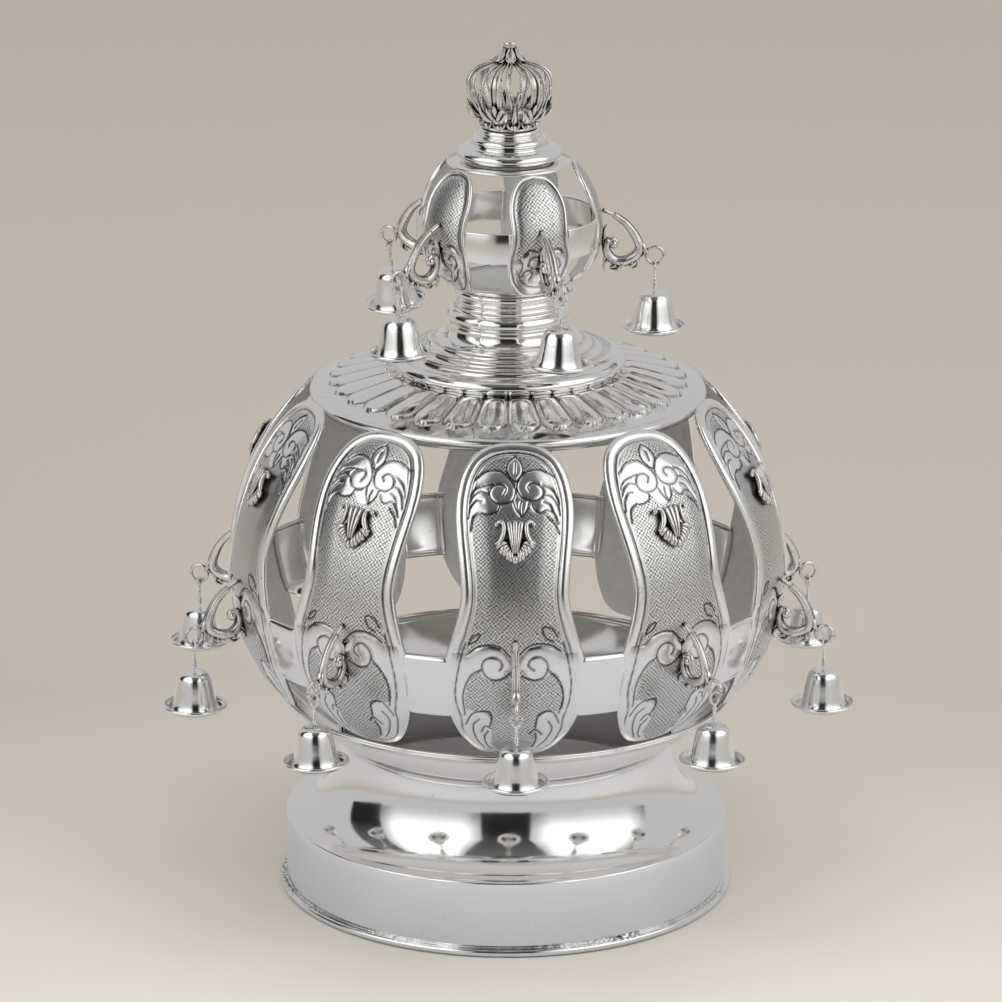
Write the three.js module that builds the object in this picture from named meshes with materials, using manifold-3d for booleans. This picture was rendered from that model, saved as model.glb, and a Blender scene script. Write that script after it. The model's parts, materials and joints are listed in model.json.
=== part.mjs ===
// Torah crown of silver: a spun base, a pierced globe of ten panels, a collar, a smaller globe
// of five panels, a cast crown finial, and scroll brackets that carry a bell each.
// Millimetres, +Z up, origin in the middle of the ring the crown stands on.

import * as THREE from 'three';
import { mergeVertices } from 'three/addons/utils/BufferGeometryUtils.js';
import Module from 'manifold-3d';

const wasm = await Module();
wasm.setup();

// Driving dimensions.
const wall = 1.2;
const joint = 0.3;              // gap left between pieces that are soldered or screwed together

const rimRadius = 92.6;
const rimHeight = 2.9;
const rimWidth = 4.0;
const bandRadius = 90.1;
const creaseRadius = 89.5;
const creaseHeight = 30.6;
const neckRadius = 66.6;
const seamHeight = 63.6;

const globeRadius = 112.6;
const globeHeight = 134.4;      // height of the widest ring of the large globe
const globeRise = 106.6;
const globeDrop = 87.8;
const discRadius = 78.5;
const discHeight = 208.3;
const panelCount = 10;
const panelTurn = 1.6;          // degrees from the front to the middle of the first panel

const saucerRadius = 49.0;
const saucerHeight = 218.0;
const saucerThickness = 6.0;
const neckPipeRadius = 21.2;
const collarTop = 251.2;

const upperRadius = 36.9;
const upperHeight = 273.3;
const upperRise = 39.3;
const upperDrop = 27.8;
const upperFoot = 251.6;
const upperTop = 302.2;
const upperFootRadius = 22.6;
const upperTopRadius = 24.6;
const upperAngles = [20.5, 92, 164, 236, 312];

const capFoot = 302.6;
const capTop = 315.6;
const finialTop = 350.0;
const finialBulge = 17.3;
const finialBulgeHeight = 332.6;

const bellRadius = 13.95;
const bellHeight = 16.4;
const bellTopRadius = 5.9;
const bellBodyRadius = 9.5;
const bellWall = 0.9;
const wireRadius = 0.5;
const hookLength = 14.6;        // from the middle of a bracket's ring down to the bell's top

const ringOutward = 21.6;       // place of a bracket's ring, measured from the bracket's seat
const ringBelow = 18.7;
const ringRadius = 3.5;
const ringWire = 0.7;
const scrollWire = 1.2;
const largeSeatHeight = 138.8;
const largeBracketTurn = -7.4;  // degrees that a large bracket droops further than a small one
const upperSeatHeight = 281.5;
const ornamentHeight = 177.5;

const silver = { color: 0xd9d9d7, roughness: 0.12, metalness: 1 };
const satinSilver = { color: 0xb9b9b7, roughness: 0.3, metalness: 1 };
const castSilver = { color: 0x9c9b98, roughness: 0.28, metalness: 1 };

const crown = new THREE.Group();

const radians = THREE.MathUtils.degToRad;

function addPiece(name, geometry, finish) {
  const mesh = new THREE.Mesh(geometry, new THREE.MeshStandardMaterial(finish));
  mesh.name = name;
  crown.add(mesh);
  return mesh;
}

// A closed ring or cup turned about +Z from its outline of [radius, height] points.
// The outline runs anticlockwise seen with the axis on the left, so that faces point out.
function turned(outline, sides) {
  const points = outline.map(([radius, height]) => new THREE.Vector2(radius, height));
  points.push(points[0].clone());
  return new THREE.LatheGeometry(points, sides).rotateX(Math.PI / 2);
}

// The outline of a sheet-metal wall: the outer line, then the same line moved inwards.
function sheetOutline(outer, thickness) {
  const inner = outer.map(([radius, height], index) => {
    const before = outer[Math.max(index - 1, 0)];
    const after = outer[Math.min(index + 1, outer.length - 1)];
    const alongRadius = after[0] - before[0];
    const alongHeight = after[1] - before[1];
    const length = Math.hypot(alongRadius, alongHeight);
    return [radius - (thickness * alongHeight) / length, height + (thickness * alongRadius) / length];
  });
  return [...outer, ...inner.reverse()];
}

function solidOf(geometry) {
  const bare = geometry.clone();
  bare.deleteAttribute('normal');
  bare.deleteAttribute('uv');
  const merged = mergeVertices(bare, 1e-4);
  return new wasm.Manifold(
    new wasm.Mesh({
      numProp: 3,
      vertProperties: new Float32Array(merged.attributes.position.array),
      triVerts: new Uint32Array(merged.index.array),
    }),
  );
}

function geometryOf(solid) {
  const mesh = solid.getMesh();
  const geometry = new THREE.BufferGeometry();
  geometry.setAttribute('position', new THREE.BufferAttribute(mesh.vertProperties, 3));
  geometry.setIndex(new THREE.BufferAttribute(mesh.triVerts, 1));
  return geometry;
}

function joined(geometries) {
  return geometryOf(geometries.map(solidOf).reduce((whole, next) => whole.add(next)));
}

function tube(points, radius, steps, sides) {
  const section = new THREE.Shape();
  for (let index = 0; index < sides; index += 1) {
    const angle = (2 * Math.PI * index) / sides;
    const x = radius * Math.cos(angle);
    const y = radius * Math.sin(angle);
    if (index === 0) section.moveTo(x, y);
    else section.lineTo(x, y);
  }
  section.closePath();
  const path = new THREE.CatmullRomCurve3(points.map((point) => new THREE.Vector3(...point)));
  return new THREE.ExtrudeGeometry(section, { steps, extrudePath: path, bevelEnabled: false });
}

// A cutter that runs outwards through a wall; its outline is given as half widths by height.
function windowCutter(halfWidths, near, far) {
  const right = halfWidths.map(([halfWidth, height]) => new THREE.Vector2(halfWidth, height));
  const left = halfWidths.map(([halfWidth, height]) => new THREE.Vector2(-halfWidth, height)).reverse();
  const shape = new THREE.Shape([...right, ...left]);
  const cutter = new THREE.ExtrudeGeometry(shape, { depth: far - near, bevelEnabled: false });
  return cutter.rotateX(Math.PI / 2).translate(0, -near, 0);
}

function bulgeRadius(height, middle, radius, rise, drop) {
  const share = (height - middle) / (height > middle ? rise : drop);
  return radius * Math.sqrt(Math.max(0, 1 - share * share));
}

const largeRadiusAt = (height) => bulgeRadius(height, globeHeight, globeRadius, globeRise, globeDrop);
const upperRadiusAt = (height) => bulgeRadius(height, upperHeight, upperRadius, upperRise, upperDrop);

function heightsBetween(low, high, count) {
  return Array.from({ length: count }, (unused, index) => low + ((high - low) * index) / (count - 1));
}

// Base: rolled rim, straight band, a hollow-curved shoulder and the neck that carries the globe.
function baseGeometry() {
  const shoulder = [30, 60, 90].map((degrees) => {
    const angle = radians(degrees);
    return [
      neckRadius + (creaseRadius - neckRadius) * (1 - Math.sin(angle)),
      creaseHeight + (seamHeight - creaseHeight) * (1 - Math.cos(angle)),
    ];
  });
  const outer = [
    [bandRadius, rimHeight],
    [bandRadius - 0.1, creaseHeight - 1],
    [creaseRadius - 0.4, creaseHeight],
    ...shoulder,
  ];
  const wallOutline = sheetOutline(outer, wall);
  const innerRim = rimRadius - rimWidth;
  const outline = [
    [innerRim, 0],
    [rimRadius - 0.6, 0],
    [rimRadius, rimHeight / 2],
    [rimRadius - 0.6, rimHeight],
    ...wallOutline.slice(0, -1),
    [bandRadius - wall, rimHeight],
    [innerRim, rimHeight],
  ];
  return turned(outline, 32);
}

// Large globe: a bulging shell closed by a fluted disc, with tall and low windows between panels.
function largeGlobeGeometry() {
  const lowHeights = heightsBetween(seamHeight + joint, globeHeight, 4);
  const highHeights = heightsBetween(globeHeight, discHeight - 4, 4).slice(1);
  const outer = [...lowHeights, ...highHeights].map((height) => [largeRadiusAt(height), height]);
  outer.push([discRadius - 2, discHeight + 0.6]);
  outer.push([saucerRadius - 9, saucerHeight - joint]);
  const shell = solidOf(turned(sheetOutline(outer, wall + 0.2), 30));

  const tallWindow = [
    [10, 131.8], [13.6, 155], [7.9, 188], [9.2, 203.6],
  ];
  const lowWindow = [[17.5, 83.6], [11, 92], [9.6, 104]];
  const tall = solidOf(windowCutter(tallWindow, 60, 130));
  const low = solidOf(windowCutter(lowWindow, 70, 130));
  const windows = tall.add(low);
  let pierced = shell;
  for (let index = 0; index < panelCount; index += 1) {
    const turn = panelTurn + (360 / panelCount) * (index + 0.5);
    pierced = pierced.subtract(windows.rotate([0, 0, turn]));
  }
  return geometryOf(pierced);
}

// Collar: the saucer ring on the disc, steps, a bulging ring and a ribbed pipe up to the small globe.
function collarGeometry() {
  const foot = saucerHeight;
  const outer = [
    [saucerRadius - 3.5, foot],
    [saucerRadius, foot + saucerThickness / 2],
    [saucerRadius - 4, foot + saucerThickness],
    [38.5, foot + saucerThickness + 0.8],
    [32.7, foot + 8.4],
    [28.9, foot + 11.5],
    [23.4, foot + 15.2],
    [23.6, foot + 21.5],
    [neckPipeRadius, foot + 24],
    [neckPipeRadius, collarTop],
  ];
  return turned(sheetOutline(outer, wall), 20);
}

// Small globe: the same pierced shell with five panels.
function smallGlobeGeometry() {
  const lowHeights = heightsBetween(upperFoot + 0.4, upperHeight, 3);
  const highHeights = heightsBetween(upperHeight, upperTop - 1.6, 3).slice(1);
  const outer = [...lowHeights, ...highHeights].map((height) => [upperRadiusAt(height), height]);
  outer.unshift([upperFootRadius - 4, upperFoot]);
  outer.push([upperTopRadius - 1, upperTop]);
  outer.push([upperTopRadius - 12, upperTop]);
  const shell = solidOf(turned(sheetOutline(outer, wall), 20));

  const tallWindow = [[10.2, 281.2], [8.2, 294], [6, 299]];
  const lowWindow = [[9.8, 255.6], [8.6, 267.8]];
  const windows = solidOf(windowCutter(tallWindow, 12, 50)).add(solidOf(windowCutter(lowWindow, 14, 50)));
  let pierced = shell;
  upperAngles.forEach((angle, index) => {
    const next = index + 1 < upperAngles.length ? upperAngles[index + 1] : upperAngles[0] + 360;
    pierced = pierced.subtract(windows.rotate([0, 0, (angle + next) / 2]));
  });
  return geometryOf(pierced);
}

// Cap: two rounded rings that carry the finial.
function capGeometry() {
  const outer = [
    [9, capFoot],
    [20.4, capFoot],
    [21.4, capFoot + 2.4],
    [19.2, capFoot + 4.8],
    [13.6, capFoot + 5.6],
    [15.2, capFoot + 7.4],
    [14, capFoot + 9.4],
    [12, capFoot + 9.8],
    [12.3, capTop],
    [9, capTop],
  ];
  return turned(outer, 20);
}

// Finial: a cast royal crown, with a coronet, six leafy arches and a small stub on top.
function finialGeometry() {
  const foot = capTop + joint;
  const coronet = turned(
    [[8.4, foot], [11.4, foot], [10.8, foot + 3.4], [12, foot + 6], [9.6, foot + 6]],
    16,
  );
  const knob = turned(
    [[0.01, 341.4], [5.4, 341.4], [2.3, 347], [2.4, finialTop], [0.01, finialTop]],
    8,
  );
  const parts = [coronet, knob];
  const archCount = 6;
  for (let index = 0; index < archCount; index += 1) {
    const angle = (2 * Math.PI * (index + 0.5)) / archCount;
    const outline = [[10.6, foot + 4.4], [14.2, 326.8], [finialBulge - 0.9, finialBulgeHeight],
      [12.6, 338.6], [3.2, 342.4]];
    const points = outline.map(([radius, height]) => [
      radius * Math.sin(angle),
      -radius * Math.cos(angle),
      height,
    ]);
    parts.push(tube(points, 1, 5, 4));
  }
  return joined(parts);
}

// Cast shell ornament riveted to a panel: a fan that narrows downwards.
function ornamentGeometry() {
  const outline = new THREE.Shape();
  outline.moveTo(0, -8.4);
  outline.lineTo(3.6, -6.6);
  outline.lineTo(8, 0.4);
  outline.lineTo(4.2, 2.4);
  outline.lineTo(7.4, 7.2);
  outline.lineTo(0, 8);
  outline.lineTo(-7.4, 7.2);
  outline.lineTo(-4.2, 2.4);
  outline.lineTo(-8, 0.4);
  outline.lineTo(-3.6, -6.6);
  outline.closePath();
  return new THREE.ExtrudeGeometry(outline, { depth: 2, bevelEnabled: false }).rotateX(Math.PI / 2);
}

// Scroll bracket in the plane x = 0, reaching along -Y from its seat: an arm that sweeps out and
// down, curls back under and ends in a volute near the wall, with a ring on the arm's outside.
function bracketGeometry() {
  const scroll = [
    [0.9, 0], [10.2, -5.9], [15.9, -14.4], [14.2, -19], [8, -21.6], [3.1, -19.3], [2.3, -13.2], [5.4, -11.2],
  ].map(([outward, height]) => [0, -outward, height]);
  const ring = new THREE.TorusGeometry(ringRadius, ringWire, 3, 7).rotateY(Math.PI / 2);
  ring.translate(0, -ringOutward, -ringBelow);
  const stalk = [[0, -14.6, -17], [0, -ringOutward + ringRadius, -ringBelow + 0.4]];
  return joined([tube(scroll, scrollWire, 7, 4), tube(stalk, scrollWire, 1, 3), ring]);
}

// Bell with its wire hook: the wire loops round the ring above and runs down through the bell.
// The origin is the middle of the bracket's ring; the bell hangs straight below it.
function bellGeometry() {
  const top = -hookLength;
  const rim = top - bellHeight;
  const outer = [
    [bellRadius, rim + 0.9],
    [bellBodyRadius + 0.6, rim + 3.2],
    [bellTopRadius + 0.8, rim + 11],
    [bellTopRadius - 1.4, top],
    [0, top],
  ];
  const inner = [
    [0, top - bellWall],
    [bellTopRadius - 2, top - bellWall],
    [bellBodyRadius - 0.9, rim + 2.6],
    [bellRadius, rim],
  ];
  const profile = [...outer, ...inner, outer[0]].map(([radius, height]) => new THREE.Vector2(radius, height));
  const bell = new THREE.LatheGeometry(profile, 8).rotateX(Math.PI / 2);
  const loopBottom = -ringRadius - 3.4;
  const wire = tube(
    [
      [0, 0, top - bellWall / 2],
      [0, 0, loopBottom],
      [2.2, 0, -ringRadius - 0.4],
      [1.5, 0, -ringRadius + 2.2],
      [-1.5, 0, -ringRadius + 2.2],
      [-2.2, 0, -ringRadius - 0.4],
      [-0.6, 0, loopBottom + 0.4],
    ],
    wireRadius,
    6,
    3,
  );
  return joined([bell, wire]);
}

// Seats a piece on the outside of the crown: turned about the axis to face its own way, at a
// distance from the axis and a height, and tipped about its seat.
function seatPiece(mesh, turn, distance, height, tip) {
  mesh.rotation.order = 'ZXY';
  mesh.rotation.set(radians(tip), 0, radians(turn));
  mesh.position.set(distance * Math.sin(radians(turn)), -distance * Math.cos(radians(turn)), height);
}

// Adds a bracket and the bell that hangs straight down from its ring.
function addBracketWithBell(bracketName, bellName, turn, seatRadius, seatHeight, droop) {
  const seat = seatRadius + joint + 0.1;
  seatPiece(addPiece(bracketName, bracket, castSilver), turn, seat, seatHeight, -droop);
  const ringAngle = Math.atan2(-ringBelow, ringOutward) + radians(droop);
  const ringReach = Math.hypot(ringBelow, ringOutward);
  const distance = seat + ringReach * Math.cos(ringAngle);
  seatPiece(addPiece(bellName, bell, silver), turn, distance, seatHeight + ringReach * Math.sin(ringAngle), 0);
}

function twoDigits(number) {
  return String(number).padStart(2, '0');
}

const bracket = bracketGeometry();
const bell = bellGeometry();
const ornament = ornamentGeometry();
const ornamentSlope = largeRadiusAt(ornamentHeight - 0.5) - largeRadiusAt(ornamentHeight + 0.5);

addPiece('base', baseGeometry(), silver);
addPiece('crown_globe', largeGlobeGeometry(), satinSilver);
addPiece('collar', collarGeometry(), silver);
addPiece('upper_globe', smallGlobeGeometry(), satinSilver);
addPiece('cap', capGeometry(), silver);
addPiece('finial', finialGeometry(), castSilver);

for (let index = 0; index < panelCount; index += 1) {
  const number = twoDigits(index + 1);
  const turn = panelTurn + (360 / panelCount) * index;
  const plate = addPiece(`shell_ornament_${number}`, ornament, castSilver);
  const lean = THREE.MathUtils.radToDeg(Math.atan(ornamentSlope));
  seatPiece(plate, turn, largeRadiusAt(ornamentHeight) + 0.7, ornamentHeight, -lean);
  addBracketWithBell(
    `bracket_${number}`,
    `bell_${number}`,
    turn,
    largeRadiusAt(largeSeatHeight),
    largeSeatHeight,
    largeBracketTurn,
  );
}

upperAngles.forEach((turn, index) => {
  const seatRadius = upperRadiusAt(upperSeatHeight);
  addBracketWithBell(
    `upper_bracket_${index + 1}`,
    `upper_bell_${index + 1}`,
    turn,
    seatRadius,
    upperSeatHeight,
    0,
  );
});

export default crown;
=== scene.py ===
import json
import math

import bmesh
import bpy
import numpy as np
from mathutils import Matrix, Vector, kdtree

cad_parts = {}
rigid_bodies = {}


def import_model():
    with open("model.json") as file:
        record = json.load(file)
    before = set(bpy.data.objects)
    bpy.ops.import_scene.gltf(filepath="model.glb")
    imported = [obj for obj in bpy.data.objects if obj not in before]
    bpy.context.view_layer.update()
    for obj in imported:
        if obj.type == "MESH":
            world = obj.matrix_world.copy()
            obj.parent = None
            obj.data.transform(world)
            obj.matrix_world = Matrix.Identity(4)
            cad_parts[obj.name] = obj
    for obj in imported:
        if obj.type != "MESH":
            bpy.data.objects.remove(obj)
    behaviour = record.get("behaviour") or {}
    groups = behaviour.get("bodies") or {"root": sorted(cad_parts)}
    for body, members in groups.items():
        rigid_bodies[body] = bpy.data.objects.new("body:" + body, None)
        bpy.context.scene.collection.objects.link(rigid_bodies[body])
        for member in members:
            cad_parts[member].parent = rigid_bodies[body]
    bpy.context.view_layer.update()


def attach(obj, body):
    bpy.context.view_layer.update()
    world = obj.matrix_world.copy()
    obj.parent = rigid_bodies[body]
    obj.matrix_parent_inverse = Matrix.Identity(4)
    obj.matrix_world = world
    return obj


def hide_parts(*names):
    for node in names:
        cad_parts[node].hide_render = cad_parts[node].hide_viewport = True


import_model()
mm = 0.001
fullTurn = 2 * math.pi


def linearColour(hexColour):
    parts = [int(hexColour[i:i + 2], 16) / 255 for i in (1, 3, 5)]
    return tuple(c / 12.92 if c <= 0.04045 else ((c + 0.055) / 1.055) ** 2.4 for c in parts) + (1.0,)


def addNode(tree, kind, settings=None, links=None):
    node = tree.nodes.new(kind)
    for name, value in (settings or {}).items():
        if isinstance(name, str) and hasattr(node, name):
            setattr(node, name, value)
        else:
            node.inputs[name].default_value = value
    for name, source in (links or {}).items():
        tree.links.new(source, node.inputs[name])
    return node


def newMaterial(name):
    material = bpy.data.materials.new(name)
    material.use_nodes = True
    tree = material.node_tree
    tree.nodes.clear()
    shader = addNode(tree, "ShaderNodeBsdfPrincipled")
    addNode(tree, "ShaderNodeOutputMaterial", {}, {"Surface": shader.outputs[0]})
    return material, tree, shader


def mixColour(tree, factor, first, second):
    links = {0: factor}
    settings = {"data_type": "RGBA"}
    for key, value in ((6, first), (7, second)):
        if isinstance(value, tuple):
            settings[key] = value
        else:
            links[key] = value
    return addNode(tree, "ShaderNodeMix", settings, links).outputs[2]


def mathNode(tree, operation, first, second=None, third=None):
    settings = {"operation": operation}
    links = {}
    for key, value in ((0, first), (1, second), (2, third)):
        if value is None:
            continue
        if isinstance(value, (int, float)):
            settings[key] = value
        else:
            links[key] = value
    return addNode(tree, "ShaderNodeMath", settings, links).outputs[0]


def smoothPath(points, count):
    # points set evenly along a smooth line through the given ones
    pts = np.array(points, float)
    padded = np.vstack([2 * pts[0] - pts[1], pts, 2 * pts[-1] - pts[-2]])
    out = []
    for i in range(1, len(padded) - 2):
        t = np.linspace(0, 1, 24, endpoint=False)[:, None]
        a, b, c, d = padded[i - 1], padded[i], padded[i + 1], padded[i + 2]
        out.append(0.5 * (2 * b + (c - a) * t + (2 * a - 5 * b + 4 * c - d) * t ** 2
                          + (3 * b - a - 3 * c + d) * t ** 3))
    line = np.vstack(out + [pts[-1:]])
    along = np.concatenate([[0], np.cumsum(np.linalg.norm(np.diff(line, axis=0), axis=1))])
    wanted = np.linspace(0, along[-1], count)
    return np.stack([np.interp(wanted, along, line[:, k]) for k in range(line.shape[1])], 1)


def arcPoints(centre, size, start, end, count):
    angles = np.radians(np.linspace(start, end, count))
    return [(centre[0] + size[0] * math.cos(a), centre[1] + size[1] * math.sin(a)) for a in angles]


def smoothStep(value, low, high):
    t = np.clip((value - low) / (high - low), 0, 1)
    return t * t * (3 - 2 * t)


def finishObject(name, bm, materials):
    mesh = bpy.data.meshes.new(name)
    bm.to_mesh(mesh)
    bm.free()
    mesh.shade_smooth()
    for material in materials:
        mesh.materials.append(material)
    piece = bpy.data.objects.new(name, mesh)
    bpy.context.scene.collection.objects.link(piece)
    return piece


def joinPieces(name, pieces):
    # one object from several, with each one's attributes and materials kept
    for piece in bpy.context.scene.objects:
        piece.select_set(piece in pieces)
    bpy.context.view_layer.objects.active = pieces[0]
    bpy.ops.object.join()
    pieces[0].name = name
    pieces[0].data.name = name
    return pieces[0]


def spunPiece(name, outline, steps, material, phase=0.0):
    # a closed outline of (radius, height) in mm spun once round the axis
    bm = bmesh.new()
    verts = [bm.verts.new((r * mm, 0, z * mm)) for r, z in outline]
    edges = [bm.edges.new((verts[i - 1], verts[i])) for i in range(len(verts))]
    bmesh.ops.rotate(bm, verts=verts, matrix=Matrix.Rotation(phase, 3, "Z"))
    bmesh.ops.spin(bm, geom=verts + edges, cent=(0, 0, 0), axis=(0, 0, 1), angle=fullTurn,
                   steps=steps, use_merge=True, use_duplicate=False)
    bmesh.ops.remove_doubles(bm, verts=bm.verts, dist=1e-6)
    bmesh.ops.recalc_face_normals(bm, faces=bm.faces)
    return finishObject(name, bm, [material])


def wallOutline(outer, thickness):
    # the outline of a sheet wall: the outer line, then the same line moved in
    line = np.array(outer, float)
    step = np.gradient(line, axis=0)
    step /= np.linalg.norm(step, axis=1)[:, None] + 1e-9
    inner = line + thickness * np.stack([-step[:, 1], step[:, 0]], 1)
    inner[:, 0] = np.maximum(inner[:, 0], 0.01)
    return [tuple(p) for p in line] + [tuple(p) for p in inner[::-1]]


def gridPiece(name, columns, rows, mapping, material, flip=False, closeColumns=False):
    # a grid whose points are placed by mapping(u, v), both from 0 to 1, in mm.
    # mapping gives the place, and may give named values for each point
    bm = bmesh.new()
    bmesh.ops.create_grid(bm, x_segments=columns, y_segments=rows, size=1)
    flat = np.array([v.co[:2] for v in bm.verts]) * 0.5 + 0.5
    place, values = mapping(flat[:, 0], flat[:, 1])
    for vert, co in zip(bm.verts, place * mm):
        vert.co = co
    if flip:
        bmesh.ops.reverse_faces(bm, faces=bm.faces)
    piece = finishObject(name, bm, [material])
    mesh = piece.data
    for key, value in values.items():
        if key == "millimetres":
            layer = mesh.uv_layers.new(name=key)
            loops = np.zeros(len(mesh.loops), np.int32)
            mesh.loops.foreach_get("vertex_index", loops)
            layer.data.foreach_set("uv", value[loops].astype(np.float32).ravel())
        else:
            mesh.attributes.new(key, "FLOAT", "POINT").data.foreach_set("value", value.astype(np.float32))
    if closeColumns:
        bm = bmesh.new()
        bm.from_mesh(mesh)
        bmesh.ops.remove_doubles(bm, verts=bm.verts, dist=1e-6)
        bm.to_mesh(mesh)
        bm.free()
    return piece


def sweepInto(bm, path, widths, depths, sides=8, up=(0, 0, 1)):
    # a closed rod along a path in mm, with its own width and depth at each point
    path = np.array(path, float)
    count = len(path)
    widths = np.interp(np.linspace(0, 1, count), np.linspace(0, 1, len(widths)), widths)
    depths = np.interp(np.linspace(0, 1, count), np.linspace(0, 1, len(depths)), depths)
    along = np.gradient(path, axis=0)
    frames = []
    side = Vector(up).cross(Vector(along[0]))
    if side.length < 1e-6:
        side = Vector((1, 0, 0)).cross(Vector(along[0]))
    for i in range(count):
        forward = Vector(along[i]).normalized()
        side = (side - forward * side.dot(forward)).normalized()
        over = forward.cross(side)
        turn = Matrix((side * widths[i] * mm, over * depths[i] * mm, forward * mm)).transposed().to_4x4()
        frames.append(Matrix.Translation(Vector(path[i]) * mm) @ turn)
    ring = bmesh.ops.create_circle(bm, cap_ends=True, segments=sides, radius=1, matrix=frames[0])
    edges = list({e for v in ring["verts"] for e in v.link_edges})
    made = list(ring["verts"])
    for i in range(1, count):
        grown = bmesh.ops.extrude_edge_only(bm, edges=edges)["geom"]
        verts = [g for g in grown if isinstance(g, bmesh.types.BMVert)]
        edges = [g for g in grown if isinstance(g, bmesh.types.BMEdge)]
        bmesh.ops.transform(bm, matrix=frames[i] @ frames[i - 1].inverted(), verts=verts)
        made += verts
    bmesh.ops.contextual_create(bm, geom=edges)
    return made


def ballInto(bm, place, size, stretch=(1, 1, 1), segments=10, rings=6):
    turn = Matrix.Translation(Vector(place) * mm) @ Matrix.Diagonal((*[s * size * mm for s in stretch], 1))
    bmesh.ops.create_uvsphere(bm, u_segments=segments, v_segments=rings, radius=1, matrix=turn)


def radialPoint(turn, radius, height):
    return (radius * math.sin(math.radians(turn)), -radius * math.cos(math.radians(turn)), height)


finishValues = {
    "silverColour": "#f1f0ee",
    "castColour": "#e9e6e1",
    # dark colour of tarnish and grime, also used for the painted shade under the arcs of the chased panels
    "tarnishAndShade": "#171513",
    "polishedRoughness": 0.07,
    "chasedRoughness": 0.21,
    "castRoughness": 0.22,
    "satinRoughness": 0.5,
    "hatchPitch": 1.14,
    "hatchDepth": 0.06,
}


def surfaceNoise(tree, size, detail=3.0, distortion=0.0):
    place = addNode(tree, "ShaderNodeTexCoord")
    return addNode(tree, "ShaderNodeTexNoise", {"Scale": 1 / (size * mm), "Detail": detail,
                                                "Distortion": distortion},
                   {"Vector": place.outputs["Object"]}).outputs[0]


def bumpFrom(tree, height, depth, normal=None):
    links = {"Height": height}
    if normal is not None:
        links["Normal"] = normal
    return addNode(tree, "ShaderNodeBump", {"Distance": depth * mm, "Strength": 1.0}, links).outputs[0]


def specks(tree, size, amount):
    # small dark grains: near one only in a few spots
    grain = surfaceNoise(tree, size, 2.0)
    return addNode(tree, "ShaderNodeMapRange", {1: 1 - amount, 2: 1.0, 3: 0.0, 4: 1.0}, {0: grain}).outputs[0]


def polishedSilver(name, roughness, waviness, grimeHeight=None):
    # mirror-bright spun silver: reflections swim slightly over faint hand-worked waves and small pits
    material, tree, shader = newMaterial(name)
    shader.inputs["Metallic"].default_value = 1.0
    pits = specks(tree, 1.3, 0.32)
    colour = mixColour(tree, pits, linearColour(finishValues["silverColour"]), linearColour("#8a8782"))
    if grimeHeight:
        level = addNode(tree, "ShaderNodeSeparateXYZ", {},
                        {0: addNode(tree, "ShaderNodeTexCoord").outputs["Object"]}).outputs[2]
        away = mathNode(tree, "ABSOLUTE", mathNode(tree, "SUBTRACT", level, grimeHeight * mm))
        strip = addNode(tree, "ShaderNodeMapRange", {1: 0.2 * mm, 2: 1.3 * mm, 3: 1.0, 4: 0.0},
                        {0: away}).outputs[0]
        patch = addNode(tree, "ShaderNodeMapRange", {1: 0.46, 2: 0.6, 3: 0.08, 4: 1.0},
                        {0: surfaceNoise(tree, 38.0, 2.0)}).outputs[0]
        grain = addNode(tree, "ShaderNodeMapRange", {1: 0.4, 2: 0.56, 3: 0.0, 4: 1.0},
                        {0: surfaceNoise(tree, 1.3, 3.0)}).outputs[0]
        grime = mathNode(tree, "MULTIPLY", mathNode(tree, "MULTIPLY", strip, patch), grain)
        colour = mixColour(tree, grime, colour, linearColour(finishValues["tarnishAndShade"]))
    tree.links.new(colour, shader.inputs["Base Color"])
    cloud = surfaceNoise(tree, 7.0, 4.0)
    rough = addNode(tree, "ShaderNodeMapRange", {1: 0.35, 2: 0.7, 3: roughness, 4: roughness * 1.7},
                    {0: cloud}).outputs[0]
    tree.links.new(rough, shader.inputs["Roughness"])
    waves = bumpFrom(tree, surfaceNoise(tree, 16.0, 1.0), waviness)
    fine = bumpFrom(tree, surfaceNoise(tree, 0.8, 3.0), 0.004, waves)
    tree.links.new(fine, shader.inputs["Normal"])
    return material


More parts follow.
